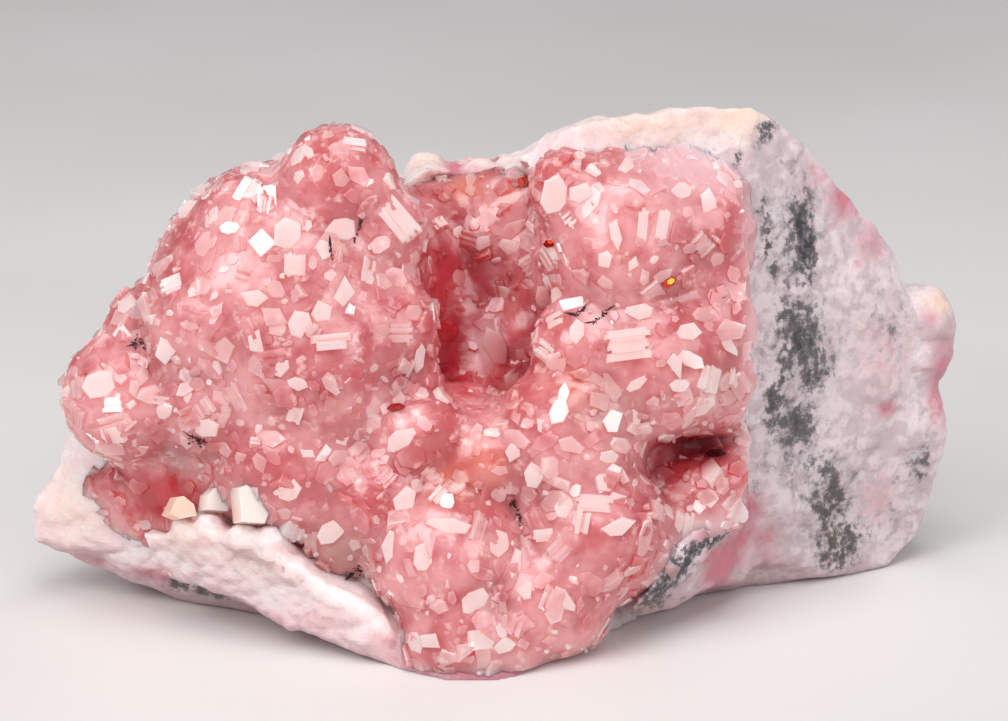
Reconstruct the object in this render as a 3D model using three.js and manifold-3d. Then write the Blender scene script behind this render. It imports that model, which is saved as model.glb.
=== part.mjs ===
// A hand specimen of shigaite on rhodochrosite: a broken block of pale matrix, a crust of
// rhodochrosite domes studded with rhombs, and small crystals of other minerals on both.
// Millimetres, +Z up. X runs along the specimen, and -Y is the crusted side it is shown from.

import * as THREE from "three";
import { ConvexGeometry } from "three/addons/geometries/ConvexGeometry.js";
import { ImprovedNoise } from "three/addons/math/ImprovedNoise.js";
import { mergeVertices } from "three/addons/utils/BufferGeometryUtils.js";
import Module from "manifold-3d";

// ---------------------------------------------------------------- driving dimensions

const ORIGIN = [0.36, 10.84, 0]; // the middle of the specimen's base, in the lists below
const HEART = [1, 11, 9]; // a point well inside the block, from which its reach is measured
const BLOCK_STRETCH = [2.2, 1, 1.2]; // crowds the divisions of its surface towards its ends
const BLOCK_DETAIL = 6; // how finely the block's surface is divided
const EDGE_SHARPNESS = 70; // higher keeps the block's broken edges sharper
const ROUGHNESS = [
  { wavelength: 6.5, height: 0.55 }, // broad hollows and swells of the broken faces
  { wavelength: 2.6, height: 0.3 }, // granular lumps
];
const CRUST_RIGHT = 12.4; // the crust is broken off flush with the right face at this x
const CLEARANCE = 0.3; // between the block, the crust that grew on it and the calcite
const CRUST_FOOT = 0.25; // the crust ends this far above the surface it stands on
const SLIVER = 0.16; // edges and steps smaller than this are smoothed away
const RHOMB_SIZE = [1.1, 1.9]; // smallest and largest edge of the crust's rhombs
const RHOMB_SPACING = 4.1; // between the rhombs on one dome
const RHOMB_SINK = 0.45; // how deep a rhomb's centre lies below its dome, as a share of its edge
const RHOMB_TILT = 0.42; // radians, the most that a rhomb leans from its dome
const RHOMB_SHEAR = 0.28; // how far a rhomb departs from a brick
const VIEWPOINT = [0.6, -145.4, 63.2]; // where the specimen is meant to be seen from
const AIM_PLANE_Y = 8; // the upright plane that the aims of small crystals lie in

// Corners of the broken block. Its faces are the flat breaks between them.
const BLOCK_CORNERS = [
  // the foot at the left
  [-23.1, 10.6, 5.0], [-21.8, 10.8, 7.3], [-22.9, 10.8, 3.0], [-20.0, 11.4, 1.0],
  // the lower edge, from the left contact to the right corner
  [-15.2, 10.2, -0.6], [-12.2, 9.4, -0.6], [-9.4, 8.3, -0.6], [-1.0, 5.6, -0.6], [7.4, 8.2, -0.6],
  [12.4, 12.4, -0.6], [20.6, 14.9, -0.6],
  // the ledge below the crust
  [-19.0, 9.3, 5.2], [-14.2, 7.8, 4.4], [-9.2, 5.8, 3.8], [-5.8, 4.4, 2.8], [8.2, 7.8, 3.3],
  // the front corner of the right face
  [12.8, 10.2, 5.5], [12.5, 10.7, 15.7], [12.7, 12.0, 22.8],
  // the right face's far edge, going up
  [23.2, 16.0, 4.2], [23.2, 16.2, 8.4], [22.6, 16.8, 12.8], [20.5, 16.4, 16.6], [18.0, 15.4, 19.8],
  [16.0, 14.7, 22.2], [14.4, 13.8, 24.2], [13.2, 13.5, 24.9],
  // the top, going left
  [10.6, 13.0, 25.1], [7.2, 12.2, 24.7], [3.9, 12.6, 24.0], [1.9, 17.5, 20.8], [-3.6, 18.0, 20.8],
  [-9.0, 14.6, 19.2], [-15.6, 13.0, 15.6], [-18.8, 12.4, 12.0],
  // the back
  [22.0, 19.6, 1.0], [22.6, 20.0, 8.4], [17.4, 20.2, 16.2], [10.4, 20.0, 20.8], [1.0, 20.6, 19.4],
  [-8.0, 19.8, 16.6], [-15.0, 18.0, 12.6], [-20.0, 16.0, 8.0], [-21.0, 15.0, 2.6],
  [-15.0, 18.0, -0.6], [0.0, 21.0, -0.6], [18.0, 20.6, -0.6], [-5.0, 21.4, 8.0], [10.0, 21.6, 9.0],
];

// Wedges that stand out of the block's front, as the corners of their hulls.
const WEDGES = [
  // the toe, which carries the lowest front domes and is the foremost point of the base
  [
    [-9.4, 8.0, 0], [-6.8, 4.3, 0], [-4.4, 1.7, 0], [-2.2, 0.4, 0], [0.3, 0.3, 0], [1.6, 1.1, 0],
    [3.4, 3.0, 0], [5.4, 5.7, 0], [7.3, 8.0, 0], [-8.6, 7.2, 2.8], [-6.0, 4.3, 2.3], [-3.6, 2.2, 1.6],
    [-1.0, 1.4, 1.2], [2.2, 3.2, 1.0], [4.8, 5.8, 1.2], [6.8, 7.8, 1.6], [-1.0, 10.0, -0.6],
  ],
  // the shelf at the left, which laps over the foot of the crust
  [
    [-17.0, 7.2, 4.8], [-14.8, 5.4, 5.4], [-12.2, 4.1, 6.0], [-10.4, 3.4, 5.4], [-8.4, 3.1, 4.3],
    [-6.6, 3.0, 3.1], [-5.0, 2.4, 2.4], [-4.2, 1.9, 1.2], [-15.8, 7.2, 2.6], [-12.6, 5.2, 2.2],
    [-10.0, 4.1, 1.6], [-7.6, 3.4, 0.7], [-5.0, 2.2, 0.1], [-16.6, 10.6, 4.8], [-12.0, 10.4, 5.2],
    [-7.0, 9.0, 3.4], [-15.0, 10.6, 1.0], [-7.0, 8.6, 0.4],
  ],
  // the lip at the right, below the hollow
  [
    [6.6, 4.4, 1.8], [7.6, 4.2, 3.2], [9.0, 5.2, 4.8], [10.4, 6.4, 5.6], [12.4, 8.4, 6.0],
    [7.0, 5.6, 0.8], [9.0, 6.6, 1.2], [11.6, 8.6, 1.8], [7.0, 9.5, 0.5], [8.0, 9.5, 4.0],
    [12.4, 12.0, 6.0], [12.4, 12.0, 1.5],
  ],
];

// Lumps that stand out of the block: centre and radius.
const BLOCK_LUMPS = [
  { at: [21.7, 17.2, 12.7], radius: 1.5 }, // the knob on the far right edge
  { at: [21.5, 17.0, 10.6], radius: 1.6 },
  { at: [-3.2, 17.7, 19.8], radius: 1.4 }, // the three swells of the rim behind the vug
  { at: [-0.9, 17.9, 19.9], radius: 1.5 },
  { at: [1.4, 17.5, 19.6], radius: 1.4 },
];

// Hollows in the block: centre and radii.
const VUG = { at: [-1.0, 10.6, 17.2], radii: [4.3, 6.2, 7.2] }; // opens to the front and the top
const HOLLOWS = [
  VUG,
  { at: [-0.8, 17.0, 26.6], radii: [5.0, 8.5, 6.2] }, // the saddle over the vug's rim
  { at: [9.9, 8.6, 8.6], radii: [2.9, 3.0, 2.0] }, // the hollow by the right edge of the crust
  { at: [-16.3, 8.0, 7.4], radii: [2.8, 2.8, 2.7] }, // the hollow behind the shelf at the left
  { at: [12.6, 8.6, -1.6], radii: [4.6, 3.8, 3.0] }, // the undercut of the lower edge
];

// The rhodochrosite domes: centre and radius. Each sits on the block with its centre near the
// block's surface, so about half of it shows.
const DOMES = {
  mound: { at: [-9.9, 12.0, 15.1], radius: 7.0 },
  moundTop: { at: [-7.3, 10.4, 21.6], radius: 2.8 },
  moundShoulder: { at: [-11.4, 10.4, 19.8], radius: 2.3 },
  moundFront: { at: [-8.6, 8.4, 13.4], radius: 4.4 },
  moundLeft: { at: [-13.4, 9.2, 15.2], radius: 3.4 },
  moundRight: { at: [-5.0, 8.4, 14.9], radius: 2.5 },
  moundRightTop: { at: [-5.4, 10.2, 19.2], radius: 2.4 },
  leftKnob: { at: [-17.7, 9.5, 11.1], radius: 3.2 },
  leftKnobTop: { at: [-16.9, 10.6, 14.5], radius: 1.8 },
  leftSaddle: { at: [-13.2, 8.8, 11.2], radius: 3.1 },
  leftHollow: { at: [-15.8, 10.4, 7.6], radius: 2.6 },
  lowLeft: { at: [-9.4, 8.0, 8.4], radius: 4.3 },
  lowLeftInner: { at: [-12.9, 9.0, 7.6], radius: 2.3 },
  ledgeDome: { at: [-7.3, 5.4, 4.9], radius: 1.5 },
  neck: { at: [-5.4, 5.9, 7.1], radius: 2.6 },
  smoothDome: { at: [-3.6, 6.4, 10.3], radius: 2.1 },
  centre: { at: [-2.0, 7.4, 8.4], radius: 2.4 },
  moundFoot: { at: [-4.6, 8.2, 12.2], radius: 2.2 },
  vugFoot: { at: [-1.3, 9.0, 9.4], radius: 2.5 },
  front: { at: [-2.2, 4.9, 4.6], radius: 3.7 },
  frontLow: { at: [-1.6, 3.3, 1.9], radius: 2.6 },
  frontRight: { at: [2.5, 4.7, 2.4], radius: 3.3 },
  middleRight: { at: [4.8, 5.9, 5.5], radius: 3.7 },
  middle: { at: [3.7, 7.2, 9.8], radius: 3.6 },
  middleLeft: { at: [-0.3, 6.4, 9.0], radius: 2.1 },
  right: { at: [7.8, 8.9, 13.1], radius: 3.8 },
  rightLeft: { at: [4.3, 8.4, 14.0], radius: 2.4 },
  upperRight: { at: [6.7, 11.2, 18.5], radius: 4.5 },
  upperRightKnob: { at: [3.6, 10.4, 21.4], radius: 1.8 },
  upperRightEdge: { at: [10.2, 10.8, 19.3], radius: 2.6 },
  rightEdge: { at: [10.6, 9.6, 15.0], radius: 2.3 },
  lowerRightEdge: { at: [7.4, 6.9, 3.9], radius: 2.1 },
  hollowLeft: { at: [6.9, 9.8, 8.0], radius: 2.2 },
  hollowBack: { at: [9.8, 12.2, 8.4], radius: 2.3 },
  hollowFloor: { at: [9.5, 8.2, 5.5], radius: 2.0 },
  hollowFloorRight: { at: [11.7, 9.6, 6.6], radius: 1.8 },
  hollowRoof: { at: [10.5, 9.8, 11.4], radius: 2.3 },
  vugBack: { at: [0.9, 16.6, 17.0], radius: 4.0 },
  vugBackLeft: { at: [-2.6, 17.0, 16.4], radius: 3.4 },
  vugLeft: { at: [-4.8, 12.6, 16.2], radius: 2.4 },
  vugLeftTop: { at: [-4.7, 14.8, 18.4], radius: 2.2 },
  vugRight: { at: [3.7, 13.8, 16.0], radius: 2.9 },
  vugRightLow: { at: [2.3, 13.6, 13.2], radius: 2.7 },
  vugWall: { at: [-1.0, 15.9, 14.2], radius: 3.4 },
  vugSlope: { at: [-1.4, 13.9, 12.7], radius: 2.5 },
  vugFloor: { at: [-0.9, 13.4, 10.7], radius: 3.3 },
};

// Small crystals of other minerals. An aim is x and z on the plane AIM_PLANE_Y: the crystal sits
// where the line from VIEWPOINT through its aim meets the specimen.
const SHIGAITE = [
  { aim: [-4.55, 11.1], width: 0.95, thickness: 0.22, tilt: [1.2, 0.15] },
  { aim: [8.5, 17.25], width: 0.85, thickness: 0.25, tilt: [0.5, 0.5] },
  { aim: [2.8, 19.1], width: 0.8, thickness: 0.22, tilt: [0.9, -0.4] },
  { aim: [10.8, 8.8], width: 1.2, thickness: 0.24, tilt: [1.1, 0.2] },
  { aim: [1.55, 22.1], width: 1.1, thickness: 0.3, tilt: [0.4, 1.0] },
];
const OXIDE_TUFTS = [
  { aim: [-16.8, 14.3], size: 1.15 },
  { aim: [-6.4, 19.7], size: 0.85 },
  { aim: [-7.8, 18.8], size: 0.7 },
  { aim: [-14.2, 9.75], size: 1.0 },
  { aim: [4.2, 15.8], size: 0.8 },
  { aim: [5.2, 15.4], size: 0.9 },
  { aim: [1.35, 5.5], size: 1.0 },
  { aim: [-6.7, 2.6], size: 0.9 },
];

// The calcite rhombs at the crust's foot, half grown over by it: centre and edge.
const CALCITE = [
  { at: [-14.8, 6.6, 6.5], edge: 1.15 },
  { at: [-11.7, 4.9, 7.0], edge: 1.6 },
  { at: [-13.2, 6.5, 6.8], edge: 0.9 },
];

const COLOURS = {
  matrix: { color: 0xe6d8d6, roughness: 0.75, metalness: 0 },
  rhodochrosite: { color: 0xe08a86, roughness: 0.25, metalness: 0 },
  shigaite: { color: 0xc2310f, roughness: 0.2, metalness: 0 },
  oxide: { color: 0x2a2226, roughness: 0.45, metalness: 0.2 },
  calcite: { color: 0xf4cdb4, roughness: 0.3, metalness: 0 },
};

// ---------------------------------------------------------------- solids

const wasm = await Module();
wasm.setup();
const noise = new ImprovedNoise();

// A repeatable stream of numbers from 0 to 1.
function randomStream(seed) {
  let state = seed;
  return () => {
    state = (state + 0x6d2b79f5) | 0;
    let t = Math.imul(state ^ (state >>> 15), 1 | state);
    t = (t + Math.imul(t ^ (t >>> 7), 61 | t)) ^ t;
    return ((t ^ (t >>> 14)) >>> 0) / 4294967296;
  };
}

// A geometry whose shared corners are merged, holding position alone.
function weld(geometry) {
  const bare = geometry.clone();
  for (const name of Object.keys(bare.attributes)) {
    if (name !== "position") bare.deleteAttribute(name);
  }
  return mergeVertices(bare, 1e-4);
}

function toSolid(geometry) {
  const welded = weld(geometry);
  return new wasm.Manifold(
    new wasm.Mesh({
      numProp: 3,
      vertProperties: new Float32Array(welded.attributes.position.array),
      triVerts: new Uint32Array(welded.index.array),
    }),
  );
}

function toGeometry(solid) {
  const mesh = solid.getMesh();
  const geometry = new THREE.BufferGeometry();
  geometry.setAttribute("position", new THREE.BufferAttribute(mesh.vertProperties, 3));
  geometry.setIndex(new THREE.BufferAttribute(mesh.triVerts, 1));
  return geometry;
}

function union(solids) {
  return solids.reduce((whole, next) => whole.add(next));
}

// The largest of a solid's separate bodies.
function largestBody(solid) {
  return solid.decompose().sort((a, b) => b.volume() - a.volume())[0];
}

function roughnessAt(point, seed) {
  return ROUGHNESS.reduce(
    (sum, { wavelength, height }, octave) =>
      sum +
      height *
        noise.noise(
          point.x / wavelength + seed + octave * 7.3,
          point.y / wavelength + seed,
          point.z / wavelength - seed,
        ),
    0,
  );
}

// Moves each corner of a welded geometry to where move(corner) says.
function reshape(geometry, move) {
  const welded = weld(geometry);
  const corners = welded.attributes.position;
  const corner = new THREE.Vector3();
  for (let i = 0; i < corners.count; i++) {
    move(corner.fromBufferAttribute(corners, i));
    corners.setXYZ(i, corner.x, corner.y, corner.z);
  }
  return welded;
}

// ---------------------------------------------------------------- matrix block

const heart = new THREE.Vector3(...HEART);
const blockCorners = BLOCK_CORNERS.map((p) => new THREE.Vector3(...p).sub(heart));

// The flat faces of the block's hull, as outward normals and their distances from the heart.
function blockFaces() {
  const corners = new ConvexGeometry(blockCorners).attributes.position;
  const faces = [];
  for (let i = 0; i < corners.count; i += 3) {
    const [a, b, c] = [0, 1, 2].map((k) => new THREE.Vector3().fromBufferAttribute(corners, i + k));
    const plane = new THREE.Plane().setFromCoplanarPoints(a, b, c);
    faces.push({ normal: plane.normal, distance: Math.abs(plane.constant) });
  }
  return faces;
}

const faces = blockFaces();

// How far the block reaches from its heart along a unit direction: the nearest face, with the
// edges between faces a little rounded.
function reach(direction) {
  const crowd = faces.reduce((sum, { normal, distance }) => {
    const towards = normal.dot(direction);
    return towards > 0 ? sum + (towards / distance) ** EDGE_SHARPNESS : sum;
  }, 0);
  return crowd ** (-1 / EDGE_SHARPNESS);
}

// Unit directions from the heart that divide the block's surface, as a welded sphere. The
// direction nearest to each corner of the block is turned onto it.
function blockDirections() {
  const sphere = reshape(new THREE.IcosahedronGeometry(1, BLOCK_DETAIL), (corner) => {
    corner.multiply(new THREE.Vector3(...BLOCK_STRETCH)).normalize();
  });
  const directions = sphere.attributes.position;
  const all = Array.from({ length: directions.count }, (_, i) =>
    new THREE.Vector3().fromBufferAttribute(directions, i),
  );
  for (const corner of blockCorners) {
    const wanted = corner.clone().normalize();
    const nearest = all.reduce((best, d, i) => (d.dot(wanted) > all[best].dot(wanted) ? i : best), 0);
    directions.setXYZ(nearest, wanted.x, wanted.y, wanted.z);
  }
  return sphere;
}

// The block with its broken surface, grown outwards by a margin.
function roughBlock(margin) {
  const geometry = reshape(blockDirections(), (corner) => {
    const distance = reach(corner);
    const surface = corner.clone().multiplyScalar(distance).add(heart);
    corner.multiplyScalar(distance + roughnessAt(surface, 3.1) + margin).add(heart);
  });
  return toSolid(geometry);
}

function roughBall(at, radii, margin, seed, detail) {
  const geometry = reshape(new THREE.IcosahedronGeometry(1, detail), (corner) => {
    const place = new THREE.Vector3(...at);
    const surface = corner.clone().multiply(new THREE.Vector3(...radii)).add(place);
    const swell = 1 + roughnessAt(surface, seed) / Math.max(...radii);
    corner.multiply(new THREE.Vector3(...radii.map((r) => r * swell + margin))).add(place);
  });
  return toSolid(geometry);
}

// The hull of some corners, grown by a margin along each axis.
function wedge(corners, margin) {
  const shifts = [-margin, margin].flatMap((m) => [[m, 0, 0], [0, m, 0], [0, 0, m]]);
  const grown = corners.flatMap((p) => shifts.map((shift) => p.map((v, axis) => v + shift[axis])));
  return toSolid(new ConvexGeometry(grown.map((p) => new THREE.Vector3(...p))));
}

// A cube that is far larger than the specimen, moved aside by a vector from where it fills it.
function bigCube(x, y, z) {
  return toSolid(new THREE.BoxGeometry(80, 80, 80).translate(x, y, z));
}

function below(height) {
  return bigCube(0, 0, height - 40);
}

// The block with its wedges, lumps and hollows. A margin grows it for the clearance round it.
function block(margin) {
  const lumps = BLOCK_LUMPS.map(({ at, radius }) => roughBall(at, Array(3).fill(radius), margin, 5.7, 1));
  const hollows = HOLLOWS.map(({ at, radii }) => roughBall(at, radii, -margin, 9.2, 2));
  const wedges = WEDGES.map((corners) => wedge(corners, margin));
  const whole = union([roughBlock(margin), ...wedges, ...lumps]).subtract(union(hollows));
  return largestBody(whole.subtract(below(-margin)));
}

// ---------------------------------------------------------------- rhodochrosite crust

// A dome: a faceted ball, slightly uneven.
function dome({ at, radius }, seed) {
  const detail = radius > 5 ? 3 : radius > 3.4 ? 2 : 1;
  const jitter = randomStream(seed);
  const geometry = reshape(new THREE.IcosahedronGeometry(radius, detail), (corner) =>
    corner.multiplyScalar(0.955 + 0.06 * jitter()),
  );
  return toSolid(geometry.translate(...at));
}

// Evenly spread unit directions, in a spiral from pole to pole.
function spiralDirections(count) {
  const goldenAngle = Math.PI * (3 - Math.sqrt(5));
  return Array.from({ length: count }, (_, i) => {
    const z = 1 - (2 * i + 1) / count;
    const ring = Math.sqrt(1 - z * z);
    return new THREE.Vector3(ring * Math.cos(i * goldenAngle), ring * Math.sin(i * goldenAngle), z);
  });
}

// One rhombohedral crystal: a sheared brick with a flat face towards direction.
function rhomb(centre, direction, size, random) {
  const shape = new THREE.BoxGeometry(size, size * (0.75 + 0.5 * random()), size * 0.9);
  shape.applyMatrix4(new THREE.Matrix4().makeShear(RHOMB_SHEAR, 0, 0, RHOMB_SHEAR, 0, 0));
  shape.rotateZ(2 * Math.PI * random());
  const lean = new THREE.Vector3(random() - 0.5, random() - 0.5, random() - 0.5);
  const up = direction.clone().addScaledVector(lean, 2 * RHOMB_TILT).normalize();
  shape.applyQuaternion(new THREE.Quaternion().setFromUnitVectors(new THREE.Vector3(0, 0, 1), up));
  return toSolid(shape.translate(centre.x, centre.y, centre.z));
}

function insideBlock(point) {
  const offset = point.clone().sub(heart);
  return offset.length() < reach(offset.clone().normalize());
}

function insideAnotherDome(point, self) {
  return Object.entries(DOMES).some(
    ([name, { at, radius }]) => name !== self && point.distanceTo(new THREE.Vector3(...at)) < radius,
  );
}

function insideVug(point) {
  const [x, y, z] = point.toArray().map((v, i) => (v - VUG.at[i]) / VUG.radii[i]);
  return Math.hypot(x, y, z) < 1;
}

// The rhombs on one dome, wherever it is free of the block and of the other domes.
function rhombsOn(name, { at, radius }, seed) {
  const random = randomStream(seed);
  const count = Math.round((4 * Math.PI * radius * radius) / RHOMB_SPACING ** 2);
  const placed = [];
  for (const direction of spiralDirections(count)) {
    const [small, large] = RHOMB_SIZE;
    const size = small + (large - small) * random() ** 1.5;
    const reachOut = radius - RHOMB_SINK * size;
    const centre = direction.clone().multiplyScalar(reachOut).add(new THREE.Vector3(...at));
    const crystal = rhomb(centre, direction, size, random);
    const hidden = insideAnotherDome(centre, name) || (insideBlock(centre) && !insideVug(centre));
    if (!hidden) placed.push(crystal);
  }
  return placed;
}

function crust() {
  const named = Object.entries(DOMES);
  const domes = named.map(([, shape], i) => dome(shape, 101 + i));
  const rhombs = named.flatMap(([name, shape], i) => rhombsOn(name, shape, 501 + i));
  const grown = union([...domes, ...rhombs]);
  const calcites = CALCITE.map((crystal, i) => calciteRhomb(crystal, i, CLEARANCE));
  const away = union([grownBlock, ...calcites, below(CRUST_FOOT), bigCube(CRUST_RIGHT + 40, 0, 0)]);
  return largestBody(grown.subtract(away).simplify(SLIVER));
}

// ---------------------------------------------------------------- small crystals

// A thin six-sided plate.
function shigaitePlate({ width, thickness, tilt }) {
  const plate = new THREE.CylinderGeometry(width / 2, width / 2, thickness, 6);
  return plate.rotateX(tilt[0]).rotateY(tilt[1]);
}

// A tuft of short black blades that spring from one point: some corners of a twenty-sided solid
// are drawn out into points, and the rest are drawn in.
function oxideTuft({ size }, seed) {
  const random = randomStream(seed);
  return reshape(new THREE.IcosahedronGeometry(1, 0), (corner) => {
    const isBlade = random() < 0.45;
    corner.multiplyScalar(size * (isBlade ? 0.4 + 0.35 * random() : 0.16 + 0.08 * random()));
  });
}

// A cream rhomb, grown by a margin on each face.
function calciteRhomb({ at, edge }, number, margin) {
  const random = randomStream(71 + number);
  const sides = [edge, 0.8 * edge, 0.9 * edge].map((side) => side + 2 * margin);
  const shape = new THREE.BoxGeometry(...sides);
  shape.applyMatrix4(new THREE.Matrix4().makeShear(RHOMB_SHEAR, 0, 0, 0, RHOMB_SHEAR, 0));
  return toSolid(shape.rotateZ(2 * random()).rotateX(random()).translate(...at));
}

// Puts a small crystal where the line from VIEWPOINT through its aim meets the specimen, then
// draws it back along the surface's normal until it is clear of every solid.
function seat(geometry, [x, z], solids) {
  const from = new THREE.Vector3(...VIEWPOINT);
  const towards = new THREE.Vector3(x, AIM_PLANE_Y, z).sub(from).normalize();
  const material = new THREE.MeshBasicMaterial();
  const shells = solids.map((solid) => new THREE.Mesh(toGeometry(solid), material));
  const hit = new THREE.Raycaster(from, towards).intersectObjects(shells)[0];
  const outwards = hit.face.normal.clone().sub(towards).normalize();
  const step = 0.03;
  const placed = geometry.clone().translate(...hit.point.toArray());
  while (solids.some((solid) => toSolid(placed).intersect(solid).volume() > 1e-6)) {
    placed.translate(...outwards.clone().multiplyScalar(step).toArray());
  }
  return placed.translate(...outwards.clone().multiplyScalar(step).toArray());
}

// ---------------------------------------------------------------- the specimen

const specimen = new THREE.Group();

function addPiece(name, geometry, look) {
  const mesh = new THREE.Mesh(geometry, new THREE.MeshStandardMaterial(COLOURS[look]));
  mesh.name = name;
  specimen.add(mesh);
}

const matrixSolid = block(0);
const grownBlock = block(CLEARANCE);
const crustSolid = crust();
const calciteSolids = CALCITE.map((crystal, i) => calciteRhomb(crystal, i, 0).subtract(grownBlock));
addPiece("matrix", toGeometry(matrixSolid), "matrix");
addPiece("rhodochrosite_crust", toGeometry(crustSolid), "rhodochrosite");
calciteSolids.forEach((solid, i) => addPiece(`calcite_rhomb_${i + 1}`, toGeometry(solid), "calcite"));

// Each other small crystal is seated clear of these and of those before it.
const seats = [matrixSolid, crustSolid, ...calciteSolids];

function addCrystal(name, geometry, aim, look) {
  const placed = seat(geometry, aim, seats);
  seats.push(toSolid(placed));
  addPiece(name, placed, look);
}

SHIGAITE.forEach((plate, i) => {
  addCrystal(`shigaite_plate_${i + 1}`, shigaitePlate(plate), plate.aim, "shigaite");
});
OXIDE_TUFTS.forEach((tuft, i) => {
  addCrystal(`oxide_tuft_${i + 1}`, oxideTuft(tuft, 31 + i), tuft.aim, "oxide");
});

specimen.position.set(...ORIGIN.map((v) => -v));

export default specimen;
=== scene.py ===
"""The looks of the shigaite on rhodochrosite specimen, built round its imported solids.

The frame is in metres, +Z up, with its origin under the middle of the specimen. Places that are
measured on the specimen are given in millimetres from MEASURED_FROM, and place() turns them into
the frame. The crust is built in those millimetres and put in its place at the end.
"""

import math
import random
from collections import namedtuple

import bmesh
import bpy
import numpy as np
from mathutils import Matrix, Quaternion, Vector, noise
from mathutils.bvhtree import BVHTree


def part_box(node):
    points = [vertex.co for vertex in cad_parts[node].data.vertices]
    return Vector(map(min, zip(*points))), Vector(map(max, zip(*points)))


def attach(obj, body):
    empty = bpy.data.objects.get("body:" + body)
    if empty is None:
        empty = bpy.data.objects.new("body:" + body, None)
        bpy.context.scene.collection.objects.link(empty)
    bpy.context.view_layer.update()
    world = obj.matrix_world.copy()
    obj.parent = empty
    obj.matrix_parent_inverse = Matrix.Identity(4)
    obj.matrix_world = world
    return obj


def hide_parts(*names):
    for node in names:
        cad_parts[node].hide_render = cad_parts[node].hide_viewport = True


MM = 0.001
MEASURED_FROM = Vector((-0.36, -10.84, 0.0))  # mm, where the measured places start, in the frame

# -------------------- driving dimensions (mm)

CAMERA_AT = (0.62, -145.4, 63.24)
CAMERA_AIM = (0.62, 8.0, 13.4)
CAMERA_LENS = 120.0
CAMERA_SENSOR = 36.0
PICTURE = (1008, 721)  # the picture's width and height in pixels

# The rhodochrosite domes, as in the solids: centre and radius.
DOMES = {
    "mound": ((-9.9, 12.0, 15.1), 7.0),
    "mound_top": ((-7.3, 10.4, 21.6), 2.8),
    "mound_shoulder": ((-11.4, 10.4, 19.8), 2.3),
    "mound_front": ((-8.6, 8.4, 13.4), 4.4),
    "mound_left": ((-13.4, 9.2, 15.2), 3.4),
    "mound_right": ((-5.0, 8.4, 14.9), 2.5),
    "mound_right_top": ((-5.4, 10.2, 19.2), 2.4),
    "left_knob": ((-17.7, 9.5, 11.1), 3.2),
    "left_knob_top": ((-16.9, 10.6, 14.5), 1.8),
    "left_saddle": ((-13.2, 8.8, 11.2), 3.1),
    "left_hollow": ((-15.8, 10.4, 7.6), 2.6),
    "low_left": ((-9.4, 8.0, 8.4), 4.3),
    "low_left_inner": ((-12.9, 9.0, 7.6), 2.3),
    "ledge_dome": ((-7.3, 5.4, 4.9), 1.5),
    "neck": ((-5.4, 5.9, 7.1), 2.6),
    "smooth_dome": ((-3.6, 6.4, 10.3), 2.1),
    "centre": ((-2.0, 7.4, 8.4), 2.4),
    "mound_foot": ((-4.6, 8.2, 12.2), 2.2),
    "vug_foot": ((-1.3, 9.0, 9.4), 2.5),
    "front": ((-2.2, 4.9, 4.6), 3.7),
    "front_low": ((-1.6, 3.3, 1.9), 2.6),
    "front_right": ((2.5, 4.7, 2.4), 3.3),
    "middle_right": ((4.8, 5.9, 5.5), 3.7),
    "middle": ((3.7, 7.2, 9.8), 3.6),
    "middle_left": ((-0.3, 6.4, 9.0), 2.1),
    "right": ((7.8, 8.9, 13.1), 3.8),
    "right_left": ((4.3, 8.4, 14.0), 2.4),
    "upper_right": ((6.7, 11.2, 18.5), 4.5),
    "upper_right_knob": ((3.6, 10.4, 21.4), 1.8),
    "upper_right_edge": ((10.2, 10.8, 19.3), 2.6),
    "right_edge": ((10.6, 9.6, 15.0), 2.3),
    "lower_right_edge": ((7.4, 6.9, 3.9), 2.1),
    "hollow_left": ((6.9, 9.8, 8.0), 2.2),
    "hollow_back": ((9.8, 12.2, 8.4), 2.3),
    "hollow_floor": ((9.5, 8.2, 5.5), 2.0),
    "hollow_floor_right": ((11.7, 9.6, 6.6), 1.8),
    "hollow_roof": ((10.5, 9.8, 11.4), 2.3),
    "vug_back": ((0.9, 16.6, 17.0), 4.0),
    "vug_back_left": ((-2.6, 17.0, 16.4), 3.4),
    "vug_left": ((-4.8, 12.6, 16.2), 2.4),
    "vug_left_top": ((-4.7, 14.8, 18.4), 2.2),
    "vug_right": ((3.7, 13.8, 16.0), 2.9),
    "vug_right_low": ((2.3, 13.6, 13.2), 2.7),
    "vug_wall": ((-1.0, 15.9, 14.2), 3.4),
    "vug_slope": ((-1.4, 13.9, 12.7), 2.5),
    "vug_floor": ((-0.9, 13.4, 10.7), 3.3),
}
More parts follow.
